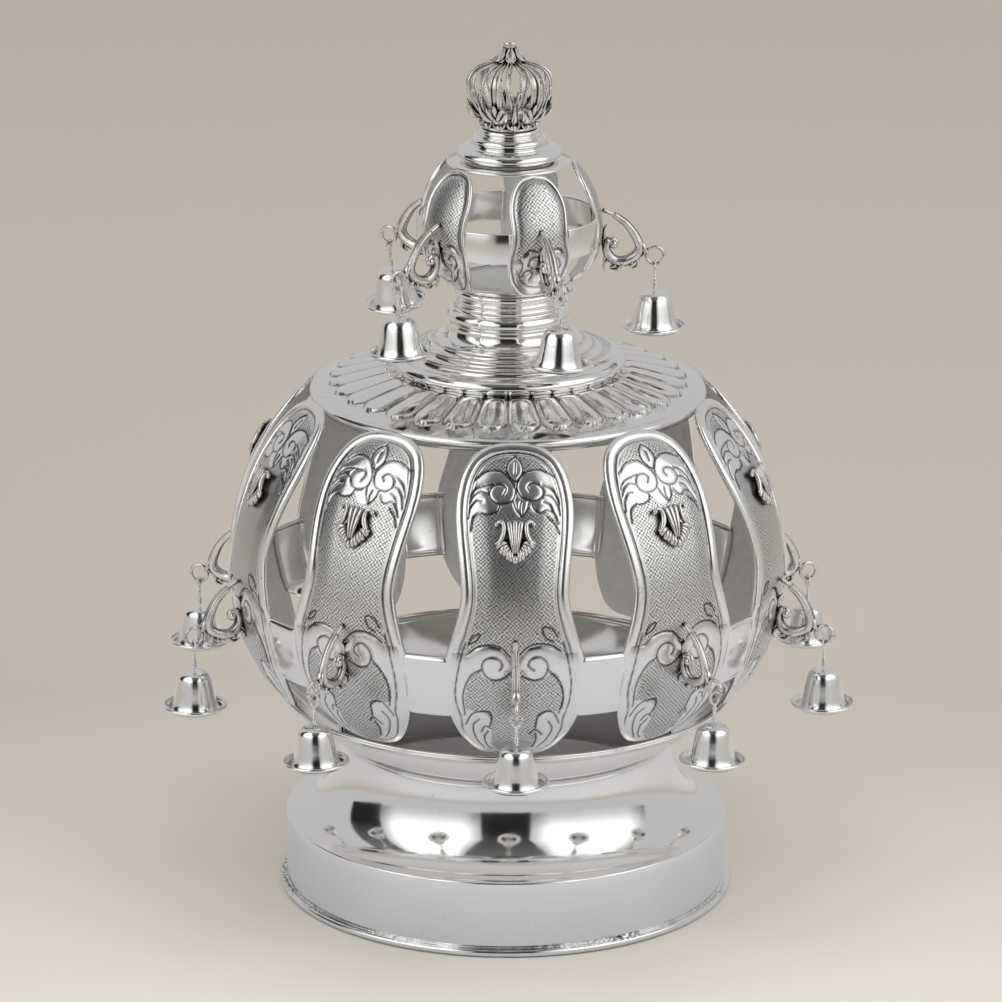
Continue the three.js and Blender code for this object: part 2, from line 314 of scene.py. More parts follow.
def chasedSilver(name, roughness):
    # chased sheet: bright raised rolls, dark tarnish in the cut lines, painted shade under the arcs,
    # cross-cut matt ground
    material, tree, shader = newMaterial(name)
    shader.inputs["Metallic"].default_value = 1.0
    # cut holds the tarnish of the cut lines and the painted shade under the arcs
    cut = addNode(tree, "ShaderNodeAttribute", {"attribute_name": "cut"}).outputs["Fac"]
    ground = addNode(tree, "ShaderNodeAttribute", {"attribute_name": "ground"}).outputs["Fac"]
    plan = addNode(tree, "ShaderNodeUVMap", {"uv_map": "millimetres"}).outputs[0]
    stray = addNode(tree, "ShaderNodeTexNoise", {"Scale": 0.28, "Detail": 2.0}, {"Vector": plan}).outputs[1]
    shifted = addNode(tree, "ShaderNodeVectorMath", {"operation": "MULTIPLY_ADD", 1: (2.2, 2.2, 0.0)},
                      {0: stray, 2: plan}).outputs[0]
    split = addNode(tree, "ShaderNodeSeparateXYZ", {}, {0: shifted})
    across, along = split.outputs[0], split.outputs[1]
    step = fullTurn / finishValues["hatchPitch"] * math.sqrt(0.5)
    lines = []
    for operation in ("ADD", "SUBTRACT"):
        phase = mathNode(tree, "MULTIPLY", mathNode(tree, operation, across, along), step)
        wave = mathNode(tree, "MULTIPLY_ADD", mathNode(tree, "COSINE", phase), 0.5, 0.5)
        lines.append(mathNode(tree, "POWER", wave, 1.6))
    deepest = mathNode(tree, "MAXIMUM", lines[0], lines[1])
    crossing = mathNode(tree, "MULTIPLY", lines[0], lines[1])
    uneven = addNode(tree, "ShaderNodeTexNoise", {"Scale": 0.9, "Detail": 2.0}, {"Vector": plan}).outputs[0]
    pattern = mathNode(tree, "MULTIPLY_ADD", deepest, 0.42, mathNode(tree, "MULTIPLY", crossing, 0.42))
    pattern = mathNode(tree, "MULTIPLY", pattern, mathNode(tree, "MULTIPLY_ADD", uneven, 1.5, 0.38))
    hatch = mathNode(tree, "MULTIPLY", pattern, ground)
    tarnishAndPaintedShade = mathNode(tree, "MINIMUM", mathNode(tree, "ADD", hatch, cut), 0.93)
    bright = mixColour(tree, specks(tree, 1.6, 0.36), linearColour(finishValues["silverColour"]),
                       linearColour("#83807b"))
    colour = mixColour(tree, tarnishAndPaintedShade, bright, linearColour(finishValues["tarnishAndShade"]))
    tree.links.new(colour, shader.inputs["Base Color"])
    rough = mathNode(tree, "MULTIPLY_ADD", ground, 0.08, roughness)
    tree.links.new(rough, shader.inputs["Roughness"])
    level = mathNode(tree, "MULTIPLY", hatch, -1.0)
    normal = bumpFrom(tree, level, finishValues["hatchDepth"])
    normal = bumpFrom(tree, surfaceNoise(tree, 2.5, 3.0), 0.05, normal)
    tree.links.new(normal, shader.inputs["Normal"])
    return material


def castSilver():
    # cast ornaments: painted shade darkens the recesses by ambient occlusion and stands in for the oxide
    # there too, with random dark blotches; slightly grainy
    material, tree, shader = newMaterial("cast silver")
    shader.inputs["Metallic"].default_value = 1.0
    # painted shade: colour darkened where ambient occlusion finds recesses and nearby parts
    openness = addNode(tree, "ShaderNodeAmbientOcclusion", {"samples": 6, "Distance": 3.0 * mm}).outputs["AO"]
    shade = addNode(tree, "ShaderNodeMapRange", {1: 0.93, 2: 0.56, 3: 0.0, 4: 0.97}, {0: openness}).outputs[0]
    blotch = addNode(tree, "ShaderNodeMapRange", {1: 0.52, 2: 0.75, 3: 0.0, 4: 0.4},
                     {0: surfaceNoise(tree, 5.0, 3.0)}).outputs[0]
    shadeAndBlotches = mathNode(tree, "MAXIMUM", shade, blotch)
    colour = mixColour(tree, shadeAndBlotches, linearColour(finishValues["castColour"]), linearColour("#1d1916"))
    tree.links.new(colour, shader.inputs["Base Color"])
    cloud = surfaceNoise(tree, 1.5, 3.0)
    base = finishValues["castRoughness"]
    rough = addNode(tree, "ShaderNodeMapRange", {1: 0.3, 2: 0.7, 3: base * 0.7, 4: base * 1.5},
                    {0: cloud}).outputs[0]
    tree.links.new(rough, shader.inputs["Roughness"])
    tree.links.new(bumpFrom(tree, surfaceNoise(tree, 2.2, 2.0), 0.04), shader.inputs["Normal"])
    return material


def satinSilver():
    # inside faces: grey, unpolished, with soft hammer clouding
    material, tree, shader = newMaterial("satin silver")
    shader.inputs["Metallic"].default_value = 0.12
    cloud = surfaceNoise(tree, 5.0, 5.0)
    colour = mixColour(tree, cloud, linearColour("#dddcda"), linearColour("#fdfcfa"))
    tree.links.new(colour, shader.inputs["Base Color"])
    base = finishValues["satinRoughness"]
    rough = addNode(tree, "ShaderNodeMapRange", {1: 0.3, 2: 0.7, 3: base * 0.8, 4: base * 1.2},
                    {0: cloud}).outputs[0]
    tree.links.new(rough, shader.inputs["Roughness"])
    tree.links.new(bumpFrom(tree, surfaceNoise(tree, 3.0, 3.0), 0.08), shader.inputs["Normal"])
    return material


polished = polishedSilver("polished silver", finishValues["polishedRoughness"], 0.05)
baseSilver = polishedSilver("polished silver with grime", finishValues["polishedRoughness"], 0.07, 3.4)
brushed = polishedSilver("polished sheet", 0.12, 0.16)
chased = chasedSilver("chased silver", finishValues["chasedRoughness"])
cast = castSilver()
satin = satinSilver()
fluted = chasedSilver("fluted silver", 0.09)
bellSilver = polishedSilver("bell silver", 0.11, 0.05)
print("finishes made")


baseValues = {
    "wall": 1.2, "rimRadius": 92.6, "beadRadius": 1.5, "bandRadius": 90.0, "creaseRadius": 89.5,
    "creaseHeight": 30.6, "neckRadius": 66.6, "seamHeight": 63.6, "steps": 256,
}


def buildBase():
    v = baseValues
    size = v["beadRadius"]
    bead = arcPoints((v["rimRadius"] - size, size), (size, size), -90, 120, 14)
    band = [(v["bandRadius"] - 0.25, 3.05), (v["bandRadius"], 3.6), (v["bandRadius"], 4.6)]
    band += [(v["bandRadius"] - 0.1 * k / 10, 4.6 + 2.4 * k) for k in range(1, 11)]
    crease = arcPoints((v["creaseRadius"] - 0.7, v["creaseHeight"] - 0.8), (1.0, 0.8), 0, 80, 6)
    angles = np.radians(np.linspace(2, 90, 44))
    reach = v["creaseRadius"] - 0.9 - v["neckRadius"]
    climb = v["seamHeight"] - v["creaseHeight"]
    shoulder = [(v["neckRadius"] + reach * (1 - math.sin(a)), v["creaseHeight"] + climb * (1 - math.cos(a)))
                for a in angles]
    neck = [p for p in shoulder if p[1] < 58.0]
    neck += [tuple(p) for p in smoothPath([neck[-1], (66.75, 60.3), (66.9, 61.9), (67.4, 63.1)], 12)[1:]]
    outer = band + crease + neck
    outline = wallOutline(outer, v["wall"])
    inner = v["rimRadius"] - 4.0
    bead = [(inner, 0.3), (inner + 0.3, 0.0)] + bead
    return spunPiece("base", bead + outline + [(inner, 3.0)], v["steps"], baseSilver)


base = buildBase()
print("base made")


globeValues = {
    "radius": 112.6, "height": 134.4, "rise": 106.6, "drop": 87.8, "wall": 1.2,
    "discRadius": 78.5, "discHeight": 208.3, "discTop": 217.9, "saucerRadius": 43.0, "flutes": 32,
    "panels": 10, "firstTurn": 1.6, "bridgeLow": 105.0, "bridgeHigh": 131.3, "bowlTop": 84.9,
}
largePanel = {
    "outline": [(0, 85.2), (5, 86.1), (8.6, 89.0), (11.4, 95.0), (12.9, 101.1), (13.8, 108), (14.2, 116),
                (14.2, 124), (13.8, 131), (13.1, 136.5), (12.5, 140.5), (11.8, 145.5), (11.2, 151),
                (10.95, 156), (11.25, 162.3), (11.95, 170.5), (12.8, 178.5), (13.5, 186.2), (13.65, 192.5),
                (13.0, 199.2), (11.0, 204.6), (7.3, 207.9), (3.5, 209.1), (0, 209.4)],
    "columns": 116, "rows": 312, "rollWidth": 4.4, "rollHeight": 1.25, "lineAt": 5.7, "fieldAt": 6.4,
    "puff": 0.7, "plainBelow": 131.0,
}
smallPanel = {
    "outline": [(0, 252.3), (9, 253.0), (15.5, 255.6), (20.2, 260), (21.6, 266), (21.2, 271), (19.4, 276),
                (18.8, 279.5), (19.4, 284), (20.4, 288.5), (20.3, 293), (17.6, 297.6), (11.5, 300.6),
                (0, 301.8)],
    "columns": 60, "rows": 120, "rollWidth": 1.6, "rollHeight": 0.5, "lineAt": 2.35, "fieldAt": 2.7,
    "puff": 0.5, "plainBelow": 0.0,
}
# chased lines of one panel: (across, height) in mm, drawn smooth through the points
largeMotif = [
    [(0.5, 205.0), (-2.3, 202.9), (-2.8, 199.7), (0.2, 196.6)],
    [(0.5, 205.0), (2.6, 202.9), (3.1, 199.7), (0.6, 196.6)],
    [(0.5, 202.7), (0.2, 199.3)],
    [(-15.0, 197.1), (-12.0, 199.3), (-9.0, 200.2), (-5.1, 199.9), (-1.7, 197.3), (0.3, 193.9), (-1.0, 190.5),
     (-5.1, 189.2), (-8.6, 190.5), (-9.6, 192.9), (-8.1, 195.1), (-5.1, 195.7), (-3.2, 194.4), (-4.3, 192.4)],
    [(15.6, 198.2), (12.1, 199.7), (9.1, 200.5), (5.2, 200.0), (2.4, 198.1), (0.9, 195.0), (2.6, 191.6),
     (6.9, 190.2), (10.4, 191.6), (10.8, 193.9), (8.7, 195.7), (6.1, 195.9), (5.0, 194.8), (5.9, 193.5)],
    [(-7.7, 195.7), (-12.0, 195.1), (-15.0, 193.9), (-16.8, 191.6)],
    [(-9.9, 192.6), (-12.7, 193.3), (-15.5, 192.0), (-17.2, 189.4)],
    [(-12.5, 190.1), (-14.6, 190.1), (-16.8, 187.9), (-18.0, 184.1)],
    [(-5.6, 188.8), (-6.8, 186.7), (-10.1, 185.7), (-13.1, 186.0), (-15.9, 184.1), (-16.8, 179.8)],
    [(10.6, 195.5), (13.8, 194.2), (15.8, 192.0), (17.1, 189.0)],
    [(11.0, 192.4), (13.8, 191.6), (16.2, 189.0), (17.5, 185.2)],
    [(11.0, 189.9), (13.4, 188.6), (14.7, 186.0)],
    [(6.5, 188.8), (8.2, 186.7), (10.2, 186.4), (12.1, 187.1), (14.7, 186.0), (16.8, 182.2)],
    [(12.3, 184.8), (15.1, 182.5), (17.2, 178.7)],
    [(-0.6, 190.1), (0.5, 187.5), (2.5, 184.8)],
    [(5.4, 189.8), (4.6, 187.1), (2.7, 184.8)],
    [(2.4, 189.8), (1.9, 187.5), (2.5, 185.4)],
    [(-18.4, 133.3), (-15.1, 136.2), (-10.8, 137.6), (-5.6, 136.7), (-1.7, 132.8)],
    [(0.9, 132.8), (4.8, 136.9), (9.6, 138.1), (14.3, 137.1), (17.6, 134.7)],
    [(-5.8, 127.4), (-4.7, 129.1), (-6.0, 131.7), (-8.8, 132.7), (-11.9, 131.2), (-12.7, 128.0),
     (-10.8, 124.4), (-6.9, 123.2), (-3.4, 124.6), (-1.7, 126.3)],
    [(7.4, 127.2), (5.1, 129.1), (6.1, 131.9), (8.9, 132.9), (11.7, 131.2), (12.7, 128.2), (11.1, 124.4),
     (7.0, 123.2), (2.6, 124.9)],
    [(-12.6, 127.6), (-16.4, 125.4), (-19.0, 120.5), (-20.1, 114.5), (-19.2, 106.7)],
    [(12.5, 127.6), (16.1, 123.9), (18.4, 119.0), (18.8, 113.5), (17.3, 107.2)],
    [(-19.2, 138.3), (-21.6, 129.1), (-23.0, 119.5), (-22.8, 113.0), (-20.5, 104.5)],
    [(-20.5, 103.9), (-19.6, 98.3), (-16.0, 91.7), (-11.5, 88.6), (-6.0, 87.2), (0.0, 86.9)],
    [(18.7, 138.3), (20.7, 130.5), (22.0, 121.0), (21.4, 113.0), (19.0, 104.7)],
    [(19.0, 104.5), (18.3, 99.4), (15.0, 92.5), (9.5, 88.4), (4.5, 87.1), (0.0, 86.9)],
    [(-18.8, 102.0), (-16.4, 107.2), (-12.5, 109.1), (-9.7, 108.7), (-8.8, 105.6), (-9.7, 101.1)],
    [(-13.6, 105.0), (-15.9, 101.4), (-14.7, 95.3), (-11.2, 89.8)],
    [(-12.6, 98.6), (-11.2, 101.6), (-8.8, 100.6)],
    [(-9.9, 99.3), (-11.3, 95.9), (-10.3, 91.7), (-8.2, 89.1)],
    [(17.6, 102.4), (15.3, 107.7), (12.3, 109.0), (9.2, 107.0), (8.2, 101.7)],
    [(13.2, 104.0), (14.8, 99.8), (12.4, 94.1), (8.8, 90.0)],
    [(6.0, 98.6), (8.2, 100.4), (10.8, 97.0)],
    [(8.4, 98.3), (8.6, 94.7), (7.0, 90.4)],
    [(-18.1, 137.4), (-16.4, 140.5), (-13.6, 141.8), (-15.0, 139.0), (-18.1, 137.4)],
    [(16.5, 140.5), (13.9, 144.0), (10.4, 144.2), (11.7, 140.5), (14.8, 138.7)],
]
smallMotif = [
    [(-7.1, 272.6), (-4.8, 274.4), (-1.4, 273.4)],
    [(4.6, 274.0), (7.6, 274.0), (9.6, 271.6)],
    [(-5.2, 267.8), (-4.6, 270.6), (-2.4, 271.6), (-0.2, 270.2), (-0.4, 267.4), (-2.8, 266.4), (-4.8, 268.0)],
    [(-8.8, 270.4), (-7.6, 268.6), (-7.9, 265.4)],
    [(-7.4, 263.4), (-5.8, 266.0), (-3.4, 264.9), (-4.3, 261.6)],
    [(-8.8, 264.6), (-6.6, 260.4), (-2.4, 258.4), (1.6, 258.2)],
    [(4.8, 268.6), (6.8, 270.4), (8.4, 267.2), (6.6, 264.4)],
    [(8.6, 264.8), (6.2, 261.0), (3.0, 258.6)],
    [(2.6, 266.2), (4.2, 263.4), (2.8, 260.2)],
]


def largeRadius(height):
    v = globeValues
    share = (height - v["height"]) / np.where(height > v["height"], v["rise"], v["drop"])
    return v["radius"] * np.sqrt(np.maximum(0, 1 - share * share))


upperValues = {
    "radius": 36.9, "height": 273.3, "rise": 39.3, "drop": 27.8, "wall": 1.0,
    "turns": [20.5, 92, 164, 236, 312], "bridgeLow": 268.3, "bridgeHigh": 280.7,
}


def upperRadius(height):
    v = upperValues
    share = (height - v["height"]) / np.where(height > v["height"], v["rise"], v["drop"])
    return v["radius"] * np.sqrt(np.maximum(0, 1 - share * share))


def nearestDistance(points, targets):
    tree = kdtree.KDTree(len(targets))
    for i, point in enumerate(targets):
        tree.insert((point[0], point[1], 0), i)
    tree.balance()
    return np.array([tree.find((x, y, 0))[2] for x, y in points])


def largeGround(x, z):
    # where the matt cross-cut ground shows on a large panel, from 0 to 1
    ax = np.abs(x)
    top = np.interp(ax, [0, 1, 2.4, 5.2, 9, 12, 15.5, 18], [194.5, 196.3, 198.1, 200, 200.4, 199.6, 198, 196])
    low = np.interp(ax, [0, 2.5, 5.5, 6.8, 10, 13, 16, 17.5, 19],
                    [184.6, 185, 188.6, 186.7, 186, 186.3, 184, 180, 177])
    scrolls = smoothStep(z, low - 0.3, low + 0.3) * (1 - smoothStep(z, top - 0.3, top + 0.3))
    budWidth = 2.9 * np.maximum(0, np.sin(np.pi * np.clip((z - 196.6) / 8.4, 0, 1))) ** 0.7
    bud = 1 - smoothStep(np.abs(x - 0.2), budWidth - 0.2, budWidth + 0.2)
    upper = (1 - scrolls) * (1 - bud)
    arc = np.interp(ax, [0, 1.7, 5.2, 10, 15, 18.4], [131.5, 132.8, 136.8, 137.9, 136.5, 133.5])
    above = smoothStep(z, arc - 0.3, arc + 0.3)
    side = np.interp(z, [86, 88, 92, 100, 106, 108.4, 109.5, 114, 120, 125, 127.6],
                     [0, 5, 8.5, 8.6, 9.2, 12, 19.0, 19.4, 18.7, 16.3, 12.6])
    field = (1 - smoothStep(ax, side - 0.3, side + 0.3)) * (1 - smoothStep(z, 127, 128.4))
    ring = np.hypot(ax - 8.9, (z - 128.0) * 1.02)
    field = np.maximum(field, (ax < 4) * (z < 127) * 1.0) * smoothStep(ring, 4.7, 5.3)
    return above * upper + (1 - above) * field, arc


def smallGround(x, z):
    arc = np.interp(np.abs(x - 0.8), [0, 2.2, 5.6, 8, 10], [272.6, 273.4, 274.4, 273.4, 270.4])
    return smoothStep(z, arc - 0.3, arc + 0.3), arc


def panelData(spec, radiusAt, motif, groundAt):
    # everything that one panel's relief needs, worked out once on the flattened sheet
    edge = smoothPath(spec["outline"], spec["rows"] + 1)
    dense = np.linspace(edge[0, 1], edge[-1, 1], 2000)
    denseRadius = radiusAt(dense)
    run = np.concatenate([[0], np.cumsum(np.hypot(np.diff(dense), np.diff(denseRadius)))])
    border = smoothPath(spec["outline"], 700)
    borderX = radiusAt(border[:, 1]) * np.radians(border[:, 0])
    borderS = np.interp(border[:, 1], dense, run)
    outline = np.concatenate([np.stack([borderX, borderS], 1), np.stack([-borderX, borderS], 1)])
    lines = []
    for line in motif:
        path = smoothPath(line, 10 * len(line) + 20)
        lines.append(np.stack([path[:, 0], np.interp(path[:, 1], dense, run)], 1))
    return {"edge": edge, "dense": dense, "run": run, "outline": outline, "lines": np.vstack(lines),
            "spec": spec, "radiusAt": radiusAt, "groundAt": groundAt}


def panelRelief(data, x, s, z):
    # height of the relief in mm, how dark each point is painted (tarnish in the cut lines, a dark line along
    # the groove beside the roll, painted shade in the dished hollow under the arcs), and the matt ground
    spec = data["spec"]
    points = np.stack([x, s], 1)
    away = nearestDistance(points, data["outline"])
    cut = nearestDistance(points, data["lines"])
    ground, arc = data["groundAt"](x, z)
    rolled = smoothStep(z, spec["plainBelow"] - 3, spec["plainBelow"] + 5)
    width = spec["rollWidth"]
    share = np.clip(away / width, 0, 1)
    roll = spec["rollHeight"] * (np.sqrt(np.maximum(0, 1 - (2 * share - 1) ** 2)) - 0.35) * (away < width)
    groove = -0.55 * np.exp(-((away - width - 0.15) / 0.42) ** 2)
    fine = -0.22 * np.exp(-((away - spec["lineAt"]) / 0.3) ** 2)
    field = smoothStep(away, spec["fieldAt"] - 0.4, spec["fieldAt"] + 0.3)
    soft = 0.5 * (1 - smoothStep(away, 0, 2.6)) * -1.0
    relief = rolled * (roll + (groove + fine) * min(1, width / 2)) + (1 - rolled) * soft
    relief += spec["puff"] * smoothStep(away, width, width * 3)
    line = np.exp(-(cut / 0.31) ** 2)
    inside = smoothStep(away, 2.0, 2.6)
    relief -= 0.3 * line * inside
    below = np.clip(arc - z, 0, 30)
    relief -= 0.75 * np.exp(-below / 1.9) * (below > 0) * (arc > 0) * np.clip(1 - ground, 0, 1) * inside
    relief -= 0.22 * np.exp(-cut / 1.2) * (1 - ground) * inside * field
    ground = ground * np.maximum(field * rolled, (1 - rolled) * inside)
    # how dark each point is painted: tarnish in the cut lines and the fine line, and a dark line along the
    # groove beside the roll
    tarnishAndPaintedShade = 1.25 * line * inside + rolled * 0.9 * np.exp(-((away - width - 0.2) / 0.36) ** 2)
    tarnishAndPaintedShade += rolled * 0.35 * np.exp(-((away - spec["lineAt"]) / 0.28) ** 2)
    # painted shade: darker in the dished hollow just under each arc
    tarnishAndPaintedShade += 0.5 * np.exp(-below / 1.9) * (below > 0) * (1 - ground) * inside
    return relief, np.clip(tarnishAndPaintedShade, 0, 0.97), ground


def panelPiece(name, data, turn, columns, rows, inner, material):
    radiusAt = data["radiusAt"]
    wrap = 0.05

    def mapping(u, v):
        raw = (2 * u - 1) * (1 + (0 if inner else wrap))
        over = np.clip((np.abs(raw) - 1) / wrap, 0, 1)
        across = np.clip(raw, -1, 1)
        level = v * (len(data["edge"]) - 1)
        half = np.interp(level, np.arange(len(data["edge"])), data["edge"][:, 0])
        z = np.interp(level, np.arange(len(data["edge"])), data["edge"][:, 1])
        radius = radiusAt(z)
        x = radius * np.radians(half) * across
        s = np.interp(z, data["dense"], data["run"])
        key = (columns, rows, inner)
        if key not in data:
            data[key] = panelRelief(data, x, s, z)
        relief, tarnishAndPaintedShade, ground = data[key]
        tilt = (radiusAt(z + 0.5) - radiusAt(z - 0.5))
        length = np.hypot(1, tilt)
        wall = globeValues["wall"]
        lift = relief * (0.8 if inner else 1.0) - over * wall - (wall if inner else 0)
        outR = radius + lift / length
        outZ = z - lift * tilt / length
        angle = np.radians(turn + half * across)
        place = np.stack([outR * np.sin(angle), -outR * np.cos(angle), outZ], 1)
        # the cut attribute carries the tarnish of the cut lines and the painted shade under the arcs
        return place, {"cut": tarnishAndPaintedShade, "ground": ground, "millimetres": np.stack([x, s], 1)}

    return gridPiece(name, columns, rows, mapping, material, flip=inner)


def buildPanels(prefix, data, turns):
    made = []
    spec = data["spec"]
    for i, turn in enumerate(turns):
        name = f"{prefix}_{i + 1:02d}"
        outer = panelPiece(name, data, turn, spec["columns"], spec["rows"], False, chased)
        inner = panelPiece(name + "_back", data, turn, spec["columns"] // 3, spec["rows"] // 3, True, satin)
        made.append(joinPieces(name, [outer, inner]))
    return made


def bridgePiece(name, turn, halfWidth, low, high, radiusAt, wall, lip):
    # the plain strip between two panels, with rounded top and bottom edges
    line = [(radiusAt(np.array(z)), z) for z in np.linspace(low + lip, high - lip, 22)]
    start = (float(radiusAt(np.array(low + lip))), low + lip)
    end = (float(radiusAt(np.array(high - lip))), high - lip)
    outer = arcPoints((start[0] - lip, start[1]), (lip, lip), -80, -8, 6)
    outer += [(float(r), float(z)) for r, z in line]
    outer += arcPoints((end[0] - lip, end[1]), (lip, lip), 8, 80, 6)
    outline = np.array(wallOutline(outer, wall))
    count = len(outline)

    def mapping(u, v):
        level = v * count
        r = np.interp(level, np.arange(count + 1), np.append(outline[:, 0], outline[0, 0]))
        z = np.interp(level, np.arange(count + 1), np.append(outline[:, 1], outline[0, 1]))
        dent = -0.9 * np.exp(-((1 - np.abs(2 * u - 1)) * halfWidth * 1.9 / 1.6) ** 2)
        angle = np.radians(turn + (2 * u - 1) * halfWidth)
        r = r + dent
        return np.stack([r * np.sin(angle), -r * np.cos(angle), z], 1), {}

    return gridPiece(name, 40, count, mapping, brushed, flip=True)


def buildShell():
    # bowl, strips between the panels and the fluted disc on top
    v = globeValues
    heights = np.linspace(66.0, v["bowlTop"] - 2.6, 30)
    outer = [(float(largeRadius(z)), float(z)) for z in heights]
    foot = smoothPath([(67.4, 63.1), (68.3, 64.3), (69.5, 65.3), outer[0]], 10)[:-1]
    outer = [tuple(p) for p in foot] + outer
    top = (float(largeRadius(np.array(v["bowlTop"]))), v["bowlTop"])
    outer += arcPoints((top[0] - 0.9, v["bowlTop"] - 1.9), (0.75, 0.55), -70, 60, 6)
    outer += arcPoints((top[0] - 0.4, v["bowlTop"] - 0.7), (0.8, 0.7), -60, 110, 8)
    bowl = spunPiece("bowl", wallOutline(outer, v["wall"]), 256, polished)
    rim = spunPiece("disc_rim", discRim(), 256, polished)
    disc = gridPiece("disc", 640, 48, fluteMapping, fluted, flip=False, closeColumns=True)
    under = spunPiece("disc_under", [(43.0, 217.2), (77.2, 207.0), (77.2, 206.6), (43.0, 216.8)], 96, satin)
    pieces = [disc, rim, bowl, under]
    for i in range(v["panels"]):
        turn = v["firstTurn"] + 36 * (i + 0.5)
        pieces.append(bridgePiece(f"strip_{i}", turn, 5.4, v["bridgeLow"], v["bridgeHigh"], largeRadius,
                                  v["wall"], 2.1))
    return joinPieces("globe_shell", pieces)


def discRim():
    # rounded outer edge of the disc, turned down to the panels
    v = globeValues
    edge = arcPoints((v["discRadius"] - 1.6, v["discHeight"] - 0.6), (2.6, 2.0), 80, -60, 14)
    down = [(v["discRadius"] - 0.6, v["discHeight"] - 3.6), (v["discRadius"] - 1.2, v["discHeight"] - 3.8)]
    return edge + down + [(v["discRadius"] - 2.4, v["discHeight"] - 1.6),
                          (v["discRadius"] - 4.0, v["discHeight"] - 0.4)]


def fluteMapping(u, w):
    v = globeValues
    outerRadius = v["discRadius"] - 1.2
    r = outerRadius + (v["saucerRadius"] - outerRadius) * w
    z = v["discHeight"] + 1.35 + (v["discTop"] - v["discHeight"] - 1.35) * (w ** 0.92)
    turn = u * fullTurn
    share = np.abs((u * v["flutes"]) % 1 - 0.5) * 2
    halfWidth = math.pi * r / v["flutes"]
    across = share * halfWidth
    end = 71.6
    cap = 6.4
    toEnd = np.clip((r - (end - cap)) / cap, 0, 1)
    roundness = np.sqrt(np.maximum(0, 1 - toEnd ** 2))
    width = halfWidth * roundness * 0.97
    inside = np.clip(1 - (across / (width + 1e-6)) ** 2, 0, 1) * (r < end)
    lift = 1.5 * np.sqrt(inside) * smoothStep(r, 46, 50)
    edge = np.exp(-((across - width) / 0.34) ** 2) * (r < end + 0.6)
    lift = lift - 0.25 * edge
    place = np.stack([r * np.sin(turn), -r * np.cos(turn), z + lift], 1)
    return place, {"cut": 0.9 * edge, "ground": np.zeros_like(r)}


largeData = panelData(largePanel, largeRadius, largeMotif, largeGround)
largeTurns = [globeValues["firstTurn"] + 36 * i for i in range(globeValues["panels"])]
panels = buildPanels("panel", largeData, largeTurns)
shell = buildShell()
print("large globe made")


# rings are (radius, low, high, how far the roll stands out); other lines are (radius, height)
collarValues = {
    "steps": 160,
    "lowRings": [(47.2, 217.4, 223.6, 3.8), (37.6, 224.1, 225.7, 0.9), (33.6, 226.0, 227.9, 1.0),
                 (29.6, 228.3, 230.2, 1.0)],
    "waist": [(26.4, 230.6), (24.4, 232.2), (23.5, 234.4), (23.4, 236.2)],
    "highRings": [(24.7, 236.4, 242.6, 2.4), (21.7, 243.2, 245.0, 0.5), (21.3, 245.4, 247.2, 0.5),
                  (21.8, 247.6, 251.0, 1.2)],
    "inside": [(19.4, 251.1), (19.4, 240.0), (22.0, 232.0), (35.0, 222.6), (43.4, 217.7)],
}
capValues = {
    "steps": 96,
    "rings": [(20.9, 302.7, 308.2, 4.6), (13.4, 308.3, 309.0, 0.3), (15.0, 309.1, 312.1, 1.5),
              (12.2, 312.2, 312.9, 0.3), (11.9, 313.0, 315.5, 1.25)],
    "inside": [(9.0, 315.5), (9.0, 302.7)],
}


def ringStack(rings):
    # outline of rounded rings one above another: (radius, low, high, how far the roll stands out)
    outline = []
    for radius, low, high, roll in rings:
        outline += arcPoints((radius - roll, (low + high) / 2), (roll, (high - low) / 2), -80, 80, 13)
    return outline


def buildCollar():
    v = collarValues
    waist = [tuple(p) for p in smoothPath(v["waist"], 10)]
    outer = ringStack(v["lowRings"]) + waist + ringStack(v["highRings"])
    return spunPiece("collar", outer + v["inside"], v["steps"], polished)


def buildCap():
    v = capValues
    return spunPiece("cap", ringStack(v["rings"]) + v["inside"], v["steps"], polished)


collar = buildCollar()
cap = buildCap()
print("collar and cap made")


def buildUpperGlobe():
    v = upperValues
    data = panelData(smallPanel, upperRadius, smallMotif, smallGround)
    pieces = buildPanels("small_panel", data, v["turns"])
    cup = [(18.4, 251.7), (22.4, 251.7)]
    cup += [(float(upperRadius(np.array(z))), float(z)) for z in np.linspace(251.9, 253.3, 8)]
    cup += [(24.2, 253.9), (23.2, 253.9), (18.4, 252.6)]
    cupFloor = [(0.01, 252.0), (21.6, 252.5), (21.6, 252.9), (0.01, 252.4)]
    pieces.append(spunPiece("cup_floor", cupFloor, 64, satin))
    crownRing = [(24.4, 300.9), (25.0, 301.4), (24.6, 302.2), (12.0, 302.4), (12.0, 301.4), (23.4, 301.0)]
    pieces.append(spunPiece("cup", cup, 96, polished))
    pieces.append(spunPiece("upper_ring", crownRing, 96, brushed))
    turns = v["turns"] + [v["turns"][0] + 360]
    for i in range(5):
        middle = (turns[i] + turns[i + 1]) / 2
        half = (turns[i + 1] - turns[i]) / 2 - 18.6
        pieces.append(bridgePiece(f"small_strip_{i}", middle, half, v["bridgeLow"], v["bridgeHigh"],
                                  upperRadius, 1.0, 0.6))
    return joinPieces("upper_globe_sheet", pieces)


upperGlobe = buildUpperGlobe()
print("small globe made")


bracketValues = {"ringOutward": 21.6, "ringBelow": 18.7, "ringRadius": 3.5, "ringWire": 0.72}
